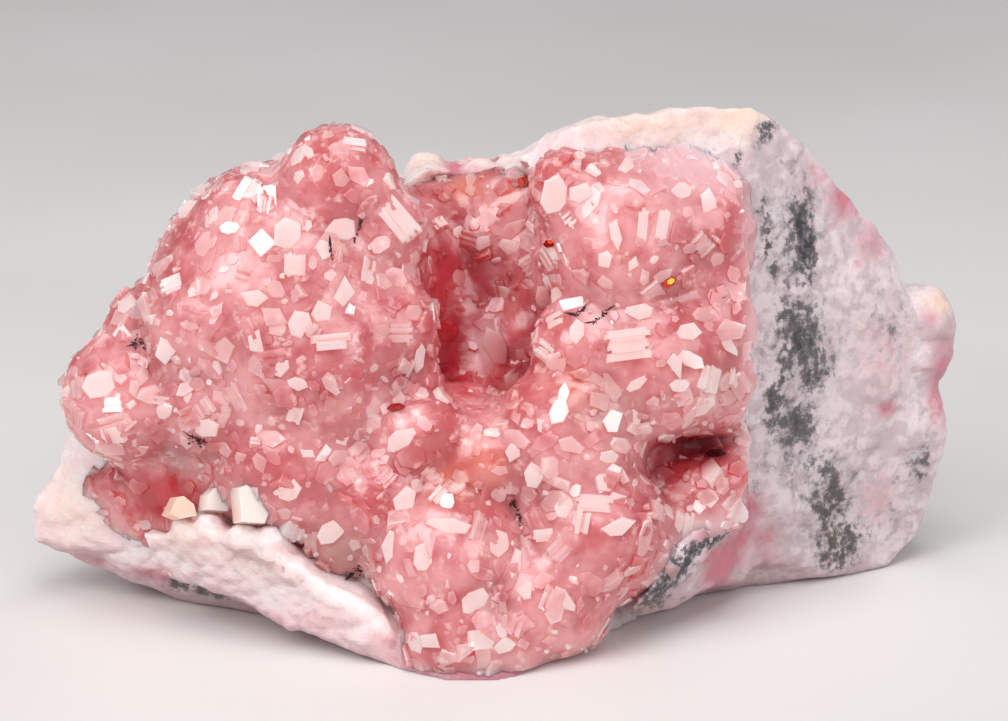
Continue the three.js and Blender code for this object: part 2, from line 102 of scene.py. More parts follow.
# Small domes that fill the gaps between them, in this scene alone.
FILLERS = {
    "corner_top": ((9.2, 12.2, 21.1), 1.9),
    "corner": ((11.0, 11.7, 20.2), 1.7),
    "edge_notch": ((11.1, 10.2, 17.1), 1.9),
    "edge_notch_low": ((11.5, 9.6, 12.9), 1.7),
    "hollow_end": ((12.3, 11.0, 9.0), 1.4),
    "left_floor": ((-17.9, 10.6, 4.8), 1.5),
    "left_floor_middle": ((-16.6, 9.7, 4.6), 1.4),
    "left_floor_end": ((-15.5, 8.5, 4.9), 1.0),
    "left_wall": ((-18.7, 10.8, 5.9), 1.5),
    "vug_crease": ((-2.7, 14.1, 17.4), 1.7),
    "vug_crease_low": ((-2.5, 13.8, 15.2), 1.8),
    "hollow_step": ((9.7, 8.1, 6.9), 1.3),
    "hollow_step_end": ((11.6, 8.5, 7.3), 0.9),
    "lip_edge": ((10.3, 7.7, 5.7), 0.9),
    "lip_edge_right": ((11.4, 8.2, 5.8), 0.8),
    "toe_left": ((-2.8, 2.3, 0.7), 1.3),
    "toe": ((-0.9, 1.9, 0.7), 1.4),
    "toe_right": ((1.0, 2.4, 0.8), 1.5),
    "vug_rim_left": ((-3.0, 14.9, 18.9), 1.4),
    "vug_rim": ((-1.6, 15.7, 18.9), 1.4),
    "vug_rim_right": ((1.7, 14.6, 19.6), 1.6),
}
CRUST_DOMES = DOMES | FILLERS
DOME_BLEND = 0.38  # how far the domes grow into one another
DOME_GRID = 0.35  # the grid that their joined surface is built on
CREASE_PASSES = 4  # how often the creases between them are smoothed
CRUST_RIGHT = 12.4  # the crust is broken off flush with the right face at this x
CRUST_FOOT = 0.25  # the crust's lowest point above the table
CRUST_BACK = 19.3  # no crystals grow behind this y, where only a thin wall of rock covers the crust

CRYSTAL_SPACING = 0.82  # between the crystals on a dome
# The sorts of crystal: share of all, shortest and longest edge, lean in radians, height, and the
# share that is painted pale, a painted highlight.
CRYSTAL_SORTS = (
    (0.38, 0.45, 0.90, 0.18, 0.03, 0.22),  # small
    (0.26, 0.80, 1.50, 0.24, 0.07, 0.55),  # large
    (0.24, 0.16, 0.42, 0.60, 0.11, 0.60),  # sharp and tilted
    (0.12, 0.80, 1.50, 0.42, 0.08, 0.60),  # striated
)
SLATTED = 3  # the sort that is made of slats
HOLLOW_BARENESS = 0.8  # the share of the crystals that the deep hollows lack
BURIED = 0.25  # crystals that start deeper than this in the rock are left out
# The blush and pale looks are the pink crust painted paler, a painted highlight on facets that catch the
# lights.
DOME, PINK, PAINTED_SOFT_HIGHLIGHT, PAINTED_HIGHLIGHT = range(4)  # the crust's looks, in the order of its materials

SHARP_EDGE = 24  # edges between crystal faces are sharp from this angle on, in degrees

SKY_RAYS = 36  # the directions in which a point of the crust looks for the sky
SKY_START = 0.35  # how far above the surface it looks from
SKY_DOMES = 0.95  # the share of their size that the domes have in its way

# The crystals that catch the eye: where each shows, in pixels of the picture, its length in mm,
# its breadth as a share of that, and its slant in degrees. Their pale look is a painted highlight.
BRIGHT_CRYSTALS = (
    (287, 234, 1.6, 0.8, 60), (254, 298, 1.3, 0.6, -10), (300, 324, 1.3, 0.8, 80),
    (258, 342, 1.2, 0.8, 100), (167, 350, 1.4, 0.8, 70), (341, 230, 1.5, 0.7, 10),
    (324, 250, 1.0, 0.8, 80), (344, 292, 1.4, 0.7, 70), (331, 340, 2.0, 0.35, 5),
    (419, 357, 1.5, 0.35, 85), (400, 219, 2.3, 0.5, -48), (293, 265, 1.3, 0.8, 88),
    (99, 385, 1.6, 0.8, 20), (298, 384, 1.0, 0.6, -20), (282, 368, 0.9, 0.7, 60),
    (189, 210, 1.2, 0.7, 40), (230, 228, 1.0, 0.6, 0), (283, 159, 1.0, 0.6, 10), (405, 500, 1.3, 0.8, 60),
    (447, 502, 1.0, 0.7, 80), (449, 526, 2.1, 0.35, -8), (389, 547, 1.5, 0.45, 80),
    (423, 557, 1.3, 0.7, 85), (515, 564, 1.4, 0.45, 75), (474, 601, 1.5, 0.6, 35),
    (564, 599, 1.4, 0.45, -50), (432, 641, 1.4, 0.5, 0), (504, 646, 1.1, 0.6, 20),
    (559, 412, 1.4, 0.6, 70), (513, 453, 0.9, 0.8, 70), (534, 475, 1.3, 0.7, 80),
    (611, 422, 1.3, 0.8, 40), (564, 507, 1.1, 0.8, 80), (594, 502, 1.9, 0.4, -3),
    (579, 522, 1.3, 0.6, 80), (618, 527, 1.6, 0.5, 10), (544, 534, 1.2, 0.5, 5), (554, 195, 1.8, 0.7, 75),
    (581, 193, 1.2, 0.8, 10), (572, 303, 1.3, 0.7, 10), (577, 332, 1.2, 0.6, 80),
    (628, 343, 2.3, 0.65, 5), (689, 332, 1.2, 0.7, 10), (691, 360, 1.4, 0.5, -25),
    (676, 366, 1.4, 0.5, -60), (495, 347, 2.0, 0.55, -65), (483, 243, 0.9, 0.8, 30),
    (641, 225, 1.7, 0.3, 85), (661, 225, 1.6, 0.35, 80), (616, 234, 1.5, 0.35, 100),
    (681, 191, 1.0, 0.8, 10), (728, 345, 1.3, 0.4, -50), (563, 397, 1.5, 0.35, 75),
    (639, 312, 1.3, 0.6, 0), (332, 531, 1.6, 0.6, 40), (737, 512, 1.3, 0.8, -30),
)
BRIGHT_LIFT = 0.16  # how far they stand above the domes
BRIGHT_FREE = 0.75  # the share of their reach that no other crystal starts in
# Those of them that are made of slats, by their pixels.
SLATTED_CRYSTALS = (
    (331, 340), (400, 219), (293, 265), (594, 502), (579, 522), (544, 534), (628, 343), (641, 225),
    (661, 225),
)

FLOOR_SIZE = 3.0  # metres, as its place
FLOOR_AT = (0, 0.6, 0)

# Soft lights that face LIGHTS_AIM: name, azimuth from the camera's side and elevation in degrees,
# distance, width and height in mm, radiance.
LIGHTS_AIM = (0.0, 8.0, 12.0)
SOFTBOXES = (
    ("key_left", -46, 38, 240, (150, 150), 4.6),
    ("key_right", 44, 26, 240, (110, 150), 3.5),
    ("top", 10, 78, 230, (150, 100), 4.2),
    ("front_top", 4, 52, 250, (80, 60), 4.6),
    ("back_left", -140, 35, 300, (120, 120), 2.5),
    ("back_right", 130, 35, 300, (120, 120), 2.5),
)

WORLD_COLOUR = (0.92, 0.94, 1.0, 1.0)
WORLD_STRENGTH = 0.16

ROCK_GRID = 0.2  # the grid that the broken rock's surface is rebuilt on
ROCK_PASSES = 8  # how often its edges are smoothed
RELIEF_FADE = 1.2  # its relief fades out below this height, so that it stands flat
ROCK_GREYS = (-0.004, 0.012)  # between these x of the frame, in metres, its white turns greyer

# Small lumps of rock round the calcite, along the back rim and on the back: centre and radius.
ROCK_LUMPS = (
    ((-12.0, 4.5, 5.55), 1.0), ((-10.6, 4.2, 5.3), 1.0), ((-13.5, 5.6, 5.85), 0.9),
    ((-14.9, 6.4, 5.45), 0.85), ((-3.2, 16.7, 20.2), 1.0), ((-1.9, 16.8, 20.1), 1.0),
    ((-0.6, 16.7, 20.2), 1.05), ((0.7, 16.5, 20.3), 1.05), ((1.7, 16.0, 20.4), 0.9),
    ((-3.8, 18.2, 17.3), 2.5), ((0.4, 18.7, 17.3), 2.4),
)


def place(point):
    """A measured place, in mm, as a point of the frame, in metres."""
    return (Vector(point) + MEASURED_FROM) * MM


# -------------------- meshes

# A solid's corners, its faces as lists of corners, and the number of its material.
Shape = namedtuple("Shape", "corners faces look", defaults=(0,))


def link(name, mesh):
    piece = bpy.data.objects.new(name, mesh)
    bpy.context.scene.collection.objects.link(piece)
    return piece


def apply_modifiers(piece):
    """Gives the piece a new mesh, with its modifiers applied."""
    graph = bpy.context.evaluated_depsgraph_get()
    mesh = bpy.data.meshes.new_from_object(piece.evaluated_get(graph))
    old = piece.data
    piece.modifiers.clear()
    piece.data = mesh
    bpy.data.meshes.remove(old)


def boolean(piece, other, operation):
    """Joins other to the piece, or cuts it away, and removes other."""
    modifier = piece.modifiers.new("join", "BOOLEAN")
    modifier.operation = operation
    modifier.solver = "MANIFOLD"
    modifier.object = other
    apply_modifiers(piece)
    bpy.data.objects.remove(other)


def rebuild(piece, grid):
    """Rebuilds the piece's surface on a grid of the given size."""
    modifier = piece.modifiers.new("grid", "REMESH")
    modifier.mode = "VOXEL"
    modifier.voxel_size = grid
    apply_modifiers(piece)


def soften(piece, passes):
    piece.modifiers.new("soften", "SMOOTH").iterations = passes
    apply_modifiers(piece)


def coordinates(mesh):
    found = np.empty(len(mesh.vertices) * 3)
    mesh.vertices.foreach_get("co", found)
    return found.reshape(-1, 3)


def normals_of(mesh):
    return np.array([v.vector for v in mesh.vertex_normals])


def set_coordinates(mesh, points):
    mesh.vertices.foreach_set("co", np.asarray(points, dtype=float).ravel())
    mesh.update()


def set_attribute(mesh, name, values):
    attribute = mesh.attributes.new(name, "FLOAT", "POINT")
    attribute.data.foreach_set("value", np.asarray(values, dtype=np.float32))


def read_out(shape, look=0):
    """A bmesh as a Shape. The bmesh is freed."""
    shape.verts.index_update()
    corners = [v.co.copy() for v in shape.verts]
    faces = [[v.index for v in face.verts] for face in shape.faces]
    shape.free()
    return Shape(corners, faces, look)


def hull(points, look=0):
    """The convex hull of some points."""
    shape = bmesh.new()
    for point in points:
        shape.verts.new(point)
    found = bmesh.ops.convex_hull(shape, input=shape.verts)
    within = set(found["geom_interior"] + found["geom_unused"])
    loose = [part for part in within if isinstance(part, bmesh.types.BMVert)]
    bmesh.ops.delete(shape, geom=loose, context="VERTS")
    bmesh.ops.recalc_face_normals(shape, faces=shape.faces)
    return read_out(shape, look)


def ball(at, radius, subdivisions, seed):
    """A slightly uneven sphere."""
    shape = bmesh.new()
    bmesh.ops.create_icosphere(shape, subdivisions=subdivisions, radius=radius)
    offset = Vector((seed * 5.3, 0, 0))
    for corner in shape.verts:
        away = corner.co.normalized()
        fine, broad = noise.noise(corner.co / 1.3 + offset), noise.noise(corner.co / 3.0 + offset)
        corner.co += away * (fine * 0.16 + broad * 0.2) - away * 0.12
        corner.co += Vector(at)
    return read_out(shape)


def groups_apart(solids):
    """Sorts solids into groups in which none can touch another. A solid is centre, reach, shape."""
    groups = []
    for centre, size, shape in solids:
        for group in groups:
            if all((centre - other).length > size + reach for other, reach, _ in group):
                group.append((centre, size, shape))
                break
        else:
            groups.append([(centre, size, shape)])
    return groups


def piece_of(name, shapes):
    corners, faces, looks = [], [], []
    for shape in shapes:
        start = len(corners)
        corners += shape.corners
        faces += [[start + i for i in face] for face in shape.faces]
        looks += [shape.look] * len(shape.faces)
    mesh = bpy.data.meshes.new(name)
    mesh.from_pydata(corners, [], faces)
    add_slots(mesh)
    mesh.polygons.foreach_set("material_index", looks)
    return link(name, mesh)


def add_slots(mesh):
    """Gives a mesh one empty material slot for each look of the crust."""
    mesh.materials.clear()
    for _ in (DOME, PINK, PAINTED_SOFT_HIGHLIGHT, PAINTED_HIGHLIGHT):
        mesh.materials.append(None)


def join_all(solids):
    """Joins many solids into one piece: first those that lie apart, then pairs of the results."""
    pieces = [piece_of("group", [shape for _, _, shape in group]) for group in groups_apart(solids)]
    while len(pieces) > 1:
        first, second = pieces.pop(0), pieces.pop(0)
        boolean(first, second, "UNION")
        pieces.append(first)
    return pieces[0]


def tree_of(pieces):
    """A search tree over the surfaces of several pieces, in the frame."""
    corners, faces = [], []
    for piece in pieces:
        start = len(corners)
        corners += [v.co.copy() for v in piece.data.vertices]
        faces += [[start + i for i in face.vertices] for face in piece.data.polygons]
    return BVHTree.FromPolygons(corners, faces)


def broken_side():
    """What is taken off the crust's right side: a block with a rough face."""
    shape = bmesh.new()
    bmesh.ops.create_cube(shape, size=30, matrix=Matrix.Translation((CRUST_RIGHT + 15, 12, 12)))
    bmesh.ops.subdivide_edges(shape, edges=shape.edges, cuts=60, use_grid_fill=True)
    for corner in shape.verts:
        if corner.co.x < CRUST_RIGHT + 0.01:
            corner.co.x += noise.noise(corner.co / 1.6) * 0.7 + noise.noise(corner.co / 0.6) * 0.25
    return read_out(shape, PINK)


def weld(mesh):
    """Joins the corners of a mesh that lie in one place."""
    shape = bmesh.new()
    shape.from_mesh(mesh)
    bmesh.ops.remove_doubles(shape, verts=shape.verts, dist=0.001 * MM)
    shape.to_mesh(mesh)
    shape.free()


def box_solid(low, high):
    corners = [(x, y, z) for x in (low[0], high[0]) for y in (low[1], high[1]) for z in (low[2], high[2])]
    return hull(corners, PINK)


# -------------------- rhodochrosite crust

def plate_points(rng, length, breadth):
    """The corners of a flat crystal with four to seven sides, its broad face at height 0."""
    sides = rng.choice((4, 5, 5, 6, 6, 7))
    start = rng.uniform(0, 2 * math.pi)
    depth = 0.35 + 0.3 * length
    points = []
    for i in range(sides):
        angle = start + 2 * math.pi * (i + rng.uniform(-0.28, 0.28)) / sides
        rim = Vector((math.cos(angle) * length, math.sin(angle) * breadth, 0)) * 0.54
        base = rim * 1.1 + Vector((0.2, 0.15, -1)) * depth
        points += [rim * 0.93, rim + Vector((0, 0, -0.07)), base]
    return points


def slat_points(length, width, side, step):
    """The corners of one of the thin slats that lie side by side along Y in a striated crystal."""
    points = []
    for x in (-length / 2, length / 2):
        for y in (side - width / 2, side + width / 2):
            points += [Vector((x * 0.86, y, step)), Vector((x, y, step - 0.12)), Vector((x, y, -0.6))]
    return points


def crystal(rng, centre, turn, length, breadth, slatted, look):
    """The solids of one crystal, each as centre, reach and shape."""
    if slatted:
        width = rng.uniform(0.14, 0.24)
        pitch = width * 0.85
        count = max(3, round(breadth / pitch))
        parts = []
        for i in range(count):
            reach, step = length * rng.uniform(0.7, 1), rng.uniform(-0.1, 0.06)
            parts.append(slat_points(reach, width, (i - count / 2) * pitch, step))
    else:
        parts = [plate_points(rng, length, breadth)]
    solids = []
    for points in parts:
        points = [centre + turn @ p for p in points]
        middle = sum(points, Vector()) / len(points)
        solids.append((middle, max((p - middle).length for p in points), hull(points, look)))
    return solids


def spiral(count):
    """Evenly spread unit vectors."""
    golden = math.pi * (3 - math.sqrt(5))
    for i in range(count):
        z = 1 - (2 * i + 1) / count
        out = math.sqrt(1 - z * z)
        yield Vector((out * math.cos(i * golden), out * math.sin(i * golden), z))


def starts_on(name, rng):
    """Places all over one dome, apart from those that lie inside another."""
    at, radius = CRUST_DOMES[name]
    others = [(Vector(c), r) for other, (c, r) in CRUST_DOMES.items() if other != name]
    count = round(4 * math.pi * radius**2 / CRYSTAL_SPACING**2)
    starts = []
    for direction in spiral(count):
        jitter = Vector([rng.uniform(-1, 1) for _ in range(3)]) * 0.4 * CRYSTAL_SPACING / radius
        start = Vector(at) + (direction + jitter).normalized() * radius
        if all((start - centre).length > reach - 0.1 for centre, reach in others):
            starts.append(start)
    return starts


def crystals_on(name, rock, bright):
    """The solids of the crystals on one dome, wherever it shows between the bright ones."""
    rng = random.Random(name)
    starts = starts_on(name, rng)
    if not starts:
        return []
    found = []
    shares = [sort[0] for sort in CRYSTAL_SORTS]
    places, normals = onto_domes(np.array(starts))
    hollow = patch_strength(places, HOLLOW_SHADE_PATCHES)
    for spot, normal, deep in zip(places, normals, hollow):
        if rng.random() < deep * HOLLOW_BARENESS:
            continue
        sort = rng.choices(range(len(CRYSTAL_SORTS)), shares)[0]
        _, shortest, longest, most_lean, height, highlight_share = CRYSTAL_SORTS[sort]
        normal = Vector(normal)
        top = Vector(spot) + normal * rng.uniform(-0.3, 1.0) * height
        if top.x > CRUST_RIGHT or top.y > CRUST_BACK or top.z < CRUST_FOOT:
            continue
        if inside(rock, place(top), BURIED * MM):
            continue
        if any((top - centre).length < reach * BRIGHT_FREE for centre, reach, _ in bright):
            continue
        lean = Vector([rng.gauss(0, 0.55) for _ in range(3)]) * most_lean
        turn = (normal + lean).normalized().to_track_quat("Z", "X")
        turn = turn @ Quaternion((0, 0, 1), rng.uniform(0, 2 * math.pi))
        edge = rng.uniform(shortest, longest)
        length, breadth = edge * rng.uniform(0.75, 1.25), edge * rng.uniform(0.5, 0.9)
        look = PINK
        # A painted highlight: some crystals get a paler look, fewer in the hollows.
        if rng.random() < highlight_share * (1 - deep):
            look = rng.choice((PAINTED_SOFT_HIGHLIGHT, PAINTED_SOFT_HIGHLIGHT, PAINTED_HIGHLIGHT))
        found += crystal(rng, top, turn, length, breadth, sort == SLATTED, look)
    return found


def camera_turn():
    return (Vector(CAMERA_AIM) - Vector(CAMERA_AT)).to_track_quat("-Z", "Y")


def towards_pixel(x, y):
    """The direction in which the camera sees a pixel of the picture."""
    focus = CAMERA_LENS / CAMERA_SENSOR * PICTURE[0]
    return camera_turn() @ Vector((x - PICTURE[0] / 2, PICTURE[1] / 2 - y, -focus)).normalized()


def seen_at(tree, start, pixel, slant):
    """The place that the camera, standing at start, sees at a pixel, and a turn whose Z leans
    from the surface there towards the camera and whose X shows at a slant in degrees."""
    towards = towards_pixel(*pixel)
    spot, normal, _, _ = tree.ray_cast(start, towards)
    normal = (normal - towards).normalized()
    slant = math.radians(slant)
    along = camera_turn() @ Vector((math.cos(slant), math.sin(slant), 0))
    side = normal.cross(along).normalized()
    turn = Matrix((side.cross(normal), side, normal)).transposed().to_quaternion()
    return spot, turn


def bright_crystals(domes):
    """The solids of the crystals that catch the eye, each on the dome that carries it."""
    rng = random.Random(5)
    found = []
    for x, y, length, share, slant in BRIGHT_CRYSTALS:
        spot, turn = seen_at(domes, Vector(CAMERA_AT), (x, y), slant)
        centre = spot + turn @ Vector((0, 0, BRIGHT_LIFT))
        slatted = (x, y) in SLATTED_CRYSTALS
        # The crystals that catch the eye take the pale look, a painted highlight.
        found += crystal(rng, centre, turn, length, length * share, slatted, PAINTED_HIGHLIGHT)
    return found


def inside(tree, point, depth):
    """Whether a point lies deeper than depth in a closed mesh."""
    nearest, normal, _, distance = tree.find_nearest(point)
    return (point - nearest).dot(normal) < 0 and distance > depth


def dome_field(points):
    """The distance of points from the domes' joined surface, and the direction away from it."""
    centres = np.array([c for c, _ in CRUST_DOMES.values()])
    reaches = np.array([r for _, r in CRUST_DOMES.values()])
    apart = points[:, None, :] - centres
    distance = np.linalg.norm(apart, axis=2)
    depth = (reaches - distance) / DOME_BLEND
    most = depth.max(axis=1, keepdims=True)
    weight = np.exp(depth - most)
    total = weight.sum(axis=1, keepdims=True)
    field = -DOME_BLEND * (most[:, 0] + np.log(total[:, 0]))
    direction = (weight[:, :, None] * apart / distance[:, :, None]).sum(axis=1) / total
    return field, direction


def onto_domes(points):
    """Moves points onto the domes' joined surface in a few steps, and gives its normals there."""
    for _ in range(6):
        field, direction = dome_field(points)
        steep = np.maximum((direction**2).sum(axis=1), 0.15)
        points = points - direction * (np.clip(field, -0.6, 0.6) / steep)[:, None]
    field, direction = dome_field(points)
    return points, direction / np.linalg.norm(direction, axis=1, keepdims=True)


def largest_part(mesh):
    """Takes the shells inside a mesh away, and keeps its largest part."""
    shape = bmesh.new()
    shape.from_mesh(mesh)
    waiting = set(shape.verts)
    parts = []
    while waiting:
        reached = [waiting.pop()]
        part = list(reached)
        while reached:
            for edge in reached.pop().link_edges:
                for corner in edge.verts:
                    if corner in waiting:
                        waiting.remove(corner)
                        reached.append(corner)
                        part.append(corner)
        parts.append(part)
    parts.sort(key=len)
    extra = [corner for part in parts[:-1] for corner in part]
    bmesh.ops.delete(shape, geom=extra, context="VERTS")
    shape.to_mesh(mesh)
    shape.free()


def joined_domes():
    """The domes as one rounded mass."""
    domes = []
    for i, (at, radius) in enumerate(CRUST_DOMES.values()):
        domes.append((Vector(at), radius + 0.1, ball(at, radius, 4 if radius > 3 else 3, i)))
    mass = join_all(domes)
    rebuild(mass, DOME_GRID)
    largest_part(mass.data)
    points, normals = onto_domes(coordinates(mass.data))
    uneven = np.array([dome_relief(Vector(p)) for p in points])
    set_coordinates(mass.data, points + normals * uneven[:, None])
    soften(mass, CREASE_PASSES)
    add_slots(mass.data)
    return mass


def dome_relief(point):
    """The height of a dome's surface above its smooth form."""
    return noise.noise(point / 1.1) * 0.1 + noise.noise(point / 2.6) * 0.16 - 0.06


def openness(points, normals):
    """The share of the sky, past the domes, that each point of the crust sees."""
    centres = np.array([c for c, _ in DOMES.values()])
    reaches = np.array([r for _, r in DOMES.values()]) * SKY_DOMES
    rays = np.array([list(v) for v in spiral(SKY_RAYS)])
    start = points + normals * SKY_START
    free = np.zeros(len(points))
    total = np.zeros(len(points))
    for ray in rays:
        facing = normals @ ray
        seen = np.ones(len(points), bool)
        for centre, reach in zip(centres, reaches):
            to_centre = centre - start
            ahead = to_centre @ ray
            aside = np.sqrt(np.maximum((to_centre**2).sum(1) - ahead**2, 0))
            outside = (to_centre**2).sum(1) > reach**2
            seen &= ~((ahead > 0) & (aside < reach) & outside)
        weight = np.maximum(facing, 0)
        free += weight * seen
        total += weight
    return free / np.maximum(total, 1e-6)


# Patches of colour on the crust: the centre's x, y and z, the radius across and up, and strength.
# Painted shade: the crust turns deep red in these hollow patches; the crystals there are also sparser.
HOLLOW_SHADE_PATCHES = (
    (-2.0, 13.2, 16.2, 1.4, 2.8, 0.9), (-1.1, 12.6, 13.4, 1.1, 2.0, 0.6),
    (-2.0, 12.2, 13.8, 1.2, 1.9, 0.9), (-1.6, 10.2, 12.2, 1.0, 1.0, 0.8),
    (1.0, 12.4, 14.0, 1.6, 2.0, 0.35), (-15.8, 8.2, 6.5, 3.2, 1.8, 0.95),
    (-17.6, 9.8, 5.4, 1.2, 0.9, 0.7), (-13.4, 8.0, 7.0, 1.4, 1.2, 0.8), (9.6, 9.8, 8.9, 2.6, 0.9, 1.0),
    (8.2, 8.4, 8.4, 0.8, 1.1, 0.9), (-2.6, 5.0, 9.6, 2.4, 1.2, 0.55), (11.2, 9.6, 18.6, 1.2, 3.0, 0.25),
)
CRUST_PATCHES = {
    "pale": (
        (-2.6, 1.6, 6.2, 2.6, 2.4, 0.9), (4.2, 3.8, 10.4, 2.6, 1.8, 0.9),
        (-18.2, 6.6, 11.8, 2.2, 2.0, 0.8), (-14.0, 6.2, 15.6, 2.6, 3.4, 0.5),
        (5.2, 7.4, 20.2, 1.8, 1.6, 0.6), (8.6, 5.4, 12.4, 1.8, 1.4, 0.6),
        (0.2, 11.0, 19.6, 1.8, 1.6, 0.5),
    ),
    # Partly painted shade: darker, redder crust between the domes and under the right hollow's roof.
    "ruddy": (
        (-3.0, 4.4, 9.4, 2.2, 1.3, 0.9), (11.4, 8.4, 18.4, 1.3, 3.0, 0.9),
        (-4.2, 6.0, 12.8, 1.2, 2.0, 0.5), (-12.4, 5.8, 9.6, 1.6, 1.4, 0.5),
        (7.4, 3.2, 5.2, 1.2, 1.8, 0.5), (11.6, 7.2, 12.0, 1.0, 2.6, 0.6),
        (2.4, 8.4, 12.4, 1.2, 1.4, 0.6), (9.8, 7.6, 7.2, 2.0, 1.0, 1.0),
    ),
    # Painted shade: darker red at the back of the right hollow and down the vug.
    "dark": (
        (9.8, 10.4, 8.8, 2.2, 0.8, 0.7), (-2.2, 13.2, 15.4, 0.6, 2.0, 0.25),
    ),
    "orange": (
        (-1.8, 5.6, 8.6, 1.0, 0.9, 1.0), (-0.4, 4.8, 9.4, 1.2, 1.0, 0.6),
        (3.8, 4.4, 13.0, 1.0, 0.8, 0.6), (-1.2, 15.4, 20.2, 1.0, 0.6, 0.8),
        (1.0, 15.4, 20.0, 0.8, 0.6, 0.8),
    ),
    "smoky": (
        (-7.2, 4.0, 4.9, 1.3, 1.2, 1.0), (5.4, 4.4, 12.0, 1.8, 1.0, 0.45),
        (-15.0, 6.4, 8.6, 1.4, 1.0, 0.5),
    ),
}
# The last patch paints the bright crystal in the vug white, a painted highlight where it sits in shade.
FROST_AND_HIGHLIGHT_PATCHES = (
    (9.8, 12.2, 22.4, 3.2, 1.3, 0.9), (12.3, 10.6, 19.4, 0.7, 2.6, 0.9),
    (12.5, 9.2, 14.6, 0.6, 3.6, 0.9), (12.5, 9.0, 9.8, 0.6, 1.6, 0.8), (11.8, 8.2, 6.0, 1.2, 0.8, 0.7),
    (10.4, 6.8, 5.4, 1.4, 0.7, 0.8), (8.4, 5.6, 4.6, 1.0, 0.6, 0.5), (-0.1, 11.0, 13.4, 0.6, 0.9, 0.8),
)
FROST_REACH = 0.7  # how far from the rock the crust is still white


def frost_and_highlight(points, rock):
    """How white the crust is at each point: it is sugary where it meets the rock, and one patch is a
    painted highlight.
    """
    away = np.array([rock.find_nearest(Vector(point))[3] for point in points])
    return np.maximum(patch_strength(points, FROST_AND_HIGHLIGHT_PATCHES), 0.8 * np.exp(-((away / FROST_REACH) ** 2)))


def build_crust(rock):
    crust = joined_domes()
    bright = bright_crystals(tree_of([crust]))
    crystals = list(bright)
    for name in CRUST_DOMES:
        crystals += crystals_on(name, rock, bright)
    boolean(crust, join_all(crystals), "UNION")
    under = box_solid((-60, -40, -40), (60, 60, CRUST_FOOT))
    for shape in (broken_side(), under):
        boolean(crust, piece_of("cut", [shape]), "DIFFERENCE")
    mesh = crust.data
    points = coordinates(mesh)
    for name, patches in CRUST_PATCHES.items():
        set_attribute(mesh, name, patch_strength(points, patches))
    set_attribute(mesh, "frosted_and_highlit", frost_and_highlight(points, rock))
    deep = patch_strength(points, HOLLOW_SHADE_PATCHES)
    # Painted shade: the crust's colour turns deep red where it sees little sky, and in the hollow
    # patches.
    set_attribute(mesh, "open", openness(points, normals_of(mesh)) * (1 - deep))
    set_coordinates(mesh, (points + np.array(MEASURED_FROM)) * MM)
    mesh.polygons.foreach_set("use_smooth", [p.material_index == DOME for p in mesh.polygons])
    mesh.set_sharp_from_angle(angle=math.radians(SHARP_EDGE))
    crust.name = mesh.name = "rhodochrosite_crystals"
    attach(crust, "root")
    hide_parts("rhodochrosite_crust")
    return crust


# -------------------- matrix rock

def build_rock(frame):
    """The broken rock: the solid's own form with a few lumps and a granular surface."""
    rock = link("matrix_rock", frame["nodes"]["matrix"].data.copy())
    weld(rock.data)
    for i, (at, radius) in enumerate(ROCK_LUMPS):
        lump = ball(at, radius, 3, i)
        lump = lump._replace(corners=[place(p) for p in lump.corners])
        boolean(rock, piece_of("lump", [lump]), "UNION")
    rebuild(rock, ROCK_GRID * MM)
    soften(rock, ROCK_PASSES)
    mesh = rock.data
    points = coordinates(mesh) / MM
    lift = np.array([rock_relief(Vector(p)) for p in points])
    lift *= np.clip(points[:, 2] / RELIEF_FADE, 0, 1)
    points = points + normals_of(mesh) * lift[:, None]
    points[:, 2] = np.maximum(points[:, 2], 0)
    set_coordinates(mesh, points * MM)
    measured = points - np.array(MEASURED_FROM)
    for name, patches in ROCK_PATCHES.items():
        set_attribute(mesh, name, patch_strength(measured, patches))
    mesh.polygons.foreach_set("use_smooth", [True] * len(mesh.polygons))
    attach(rock, "root")
    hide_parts("matrix")
    return rock


def rock_relief(point):
    """The height of the rock's surface above its smooth form, in mm: rounded lumps with creases
    between them, of two sizes, on a broad swell."""
    swell = noise.noise(point / 3.4) * 0.4
    lumps = abs(noise.noise(point / 2.1)) * 0.28 + abs(noise.noise(point / 0.9)) * 0.15
    return swell + lumps + noise.noise(point / 0.45) * 0.05 - 0.1


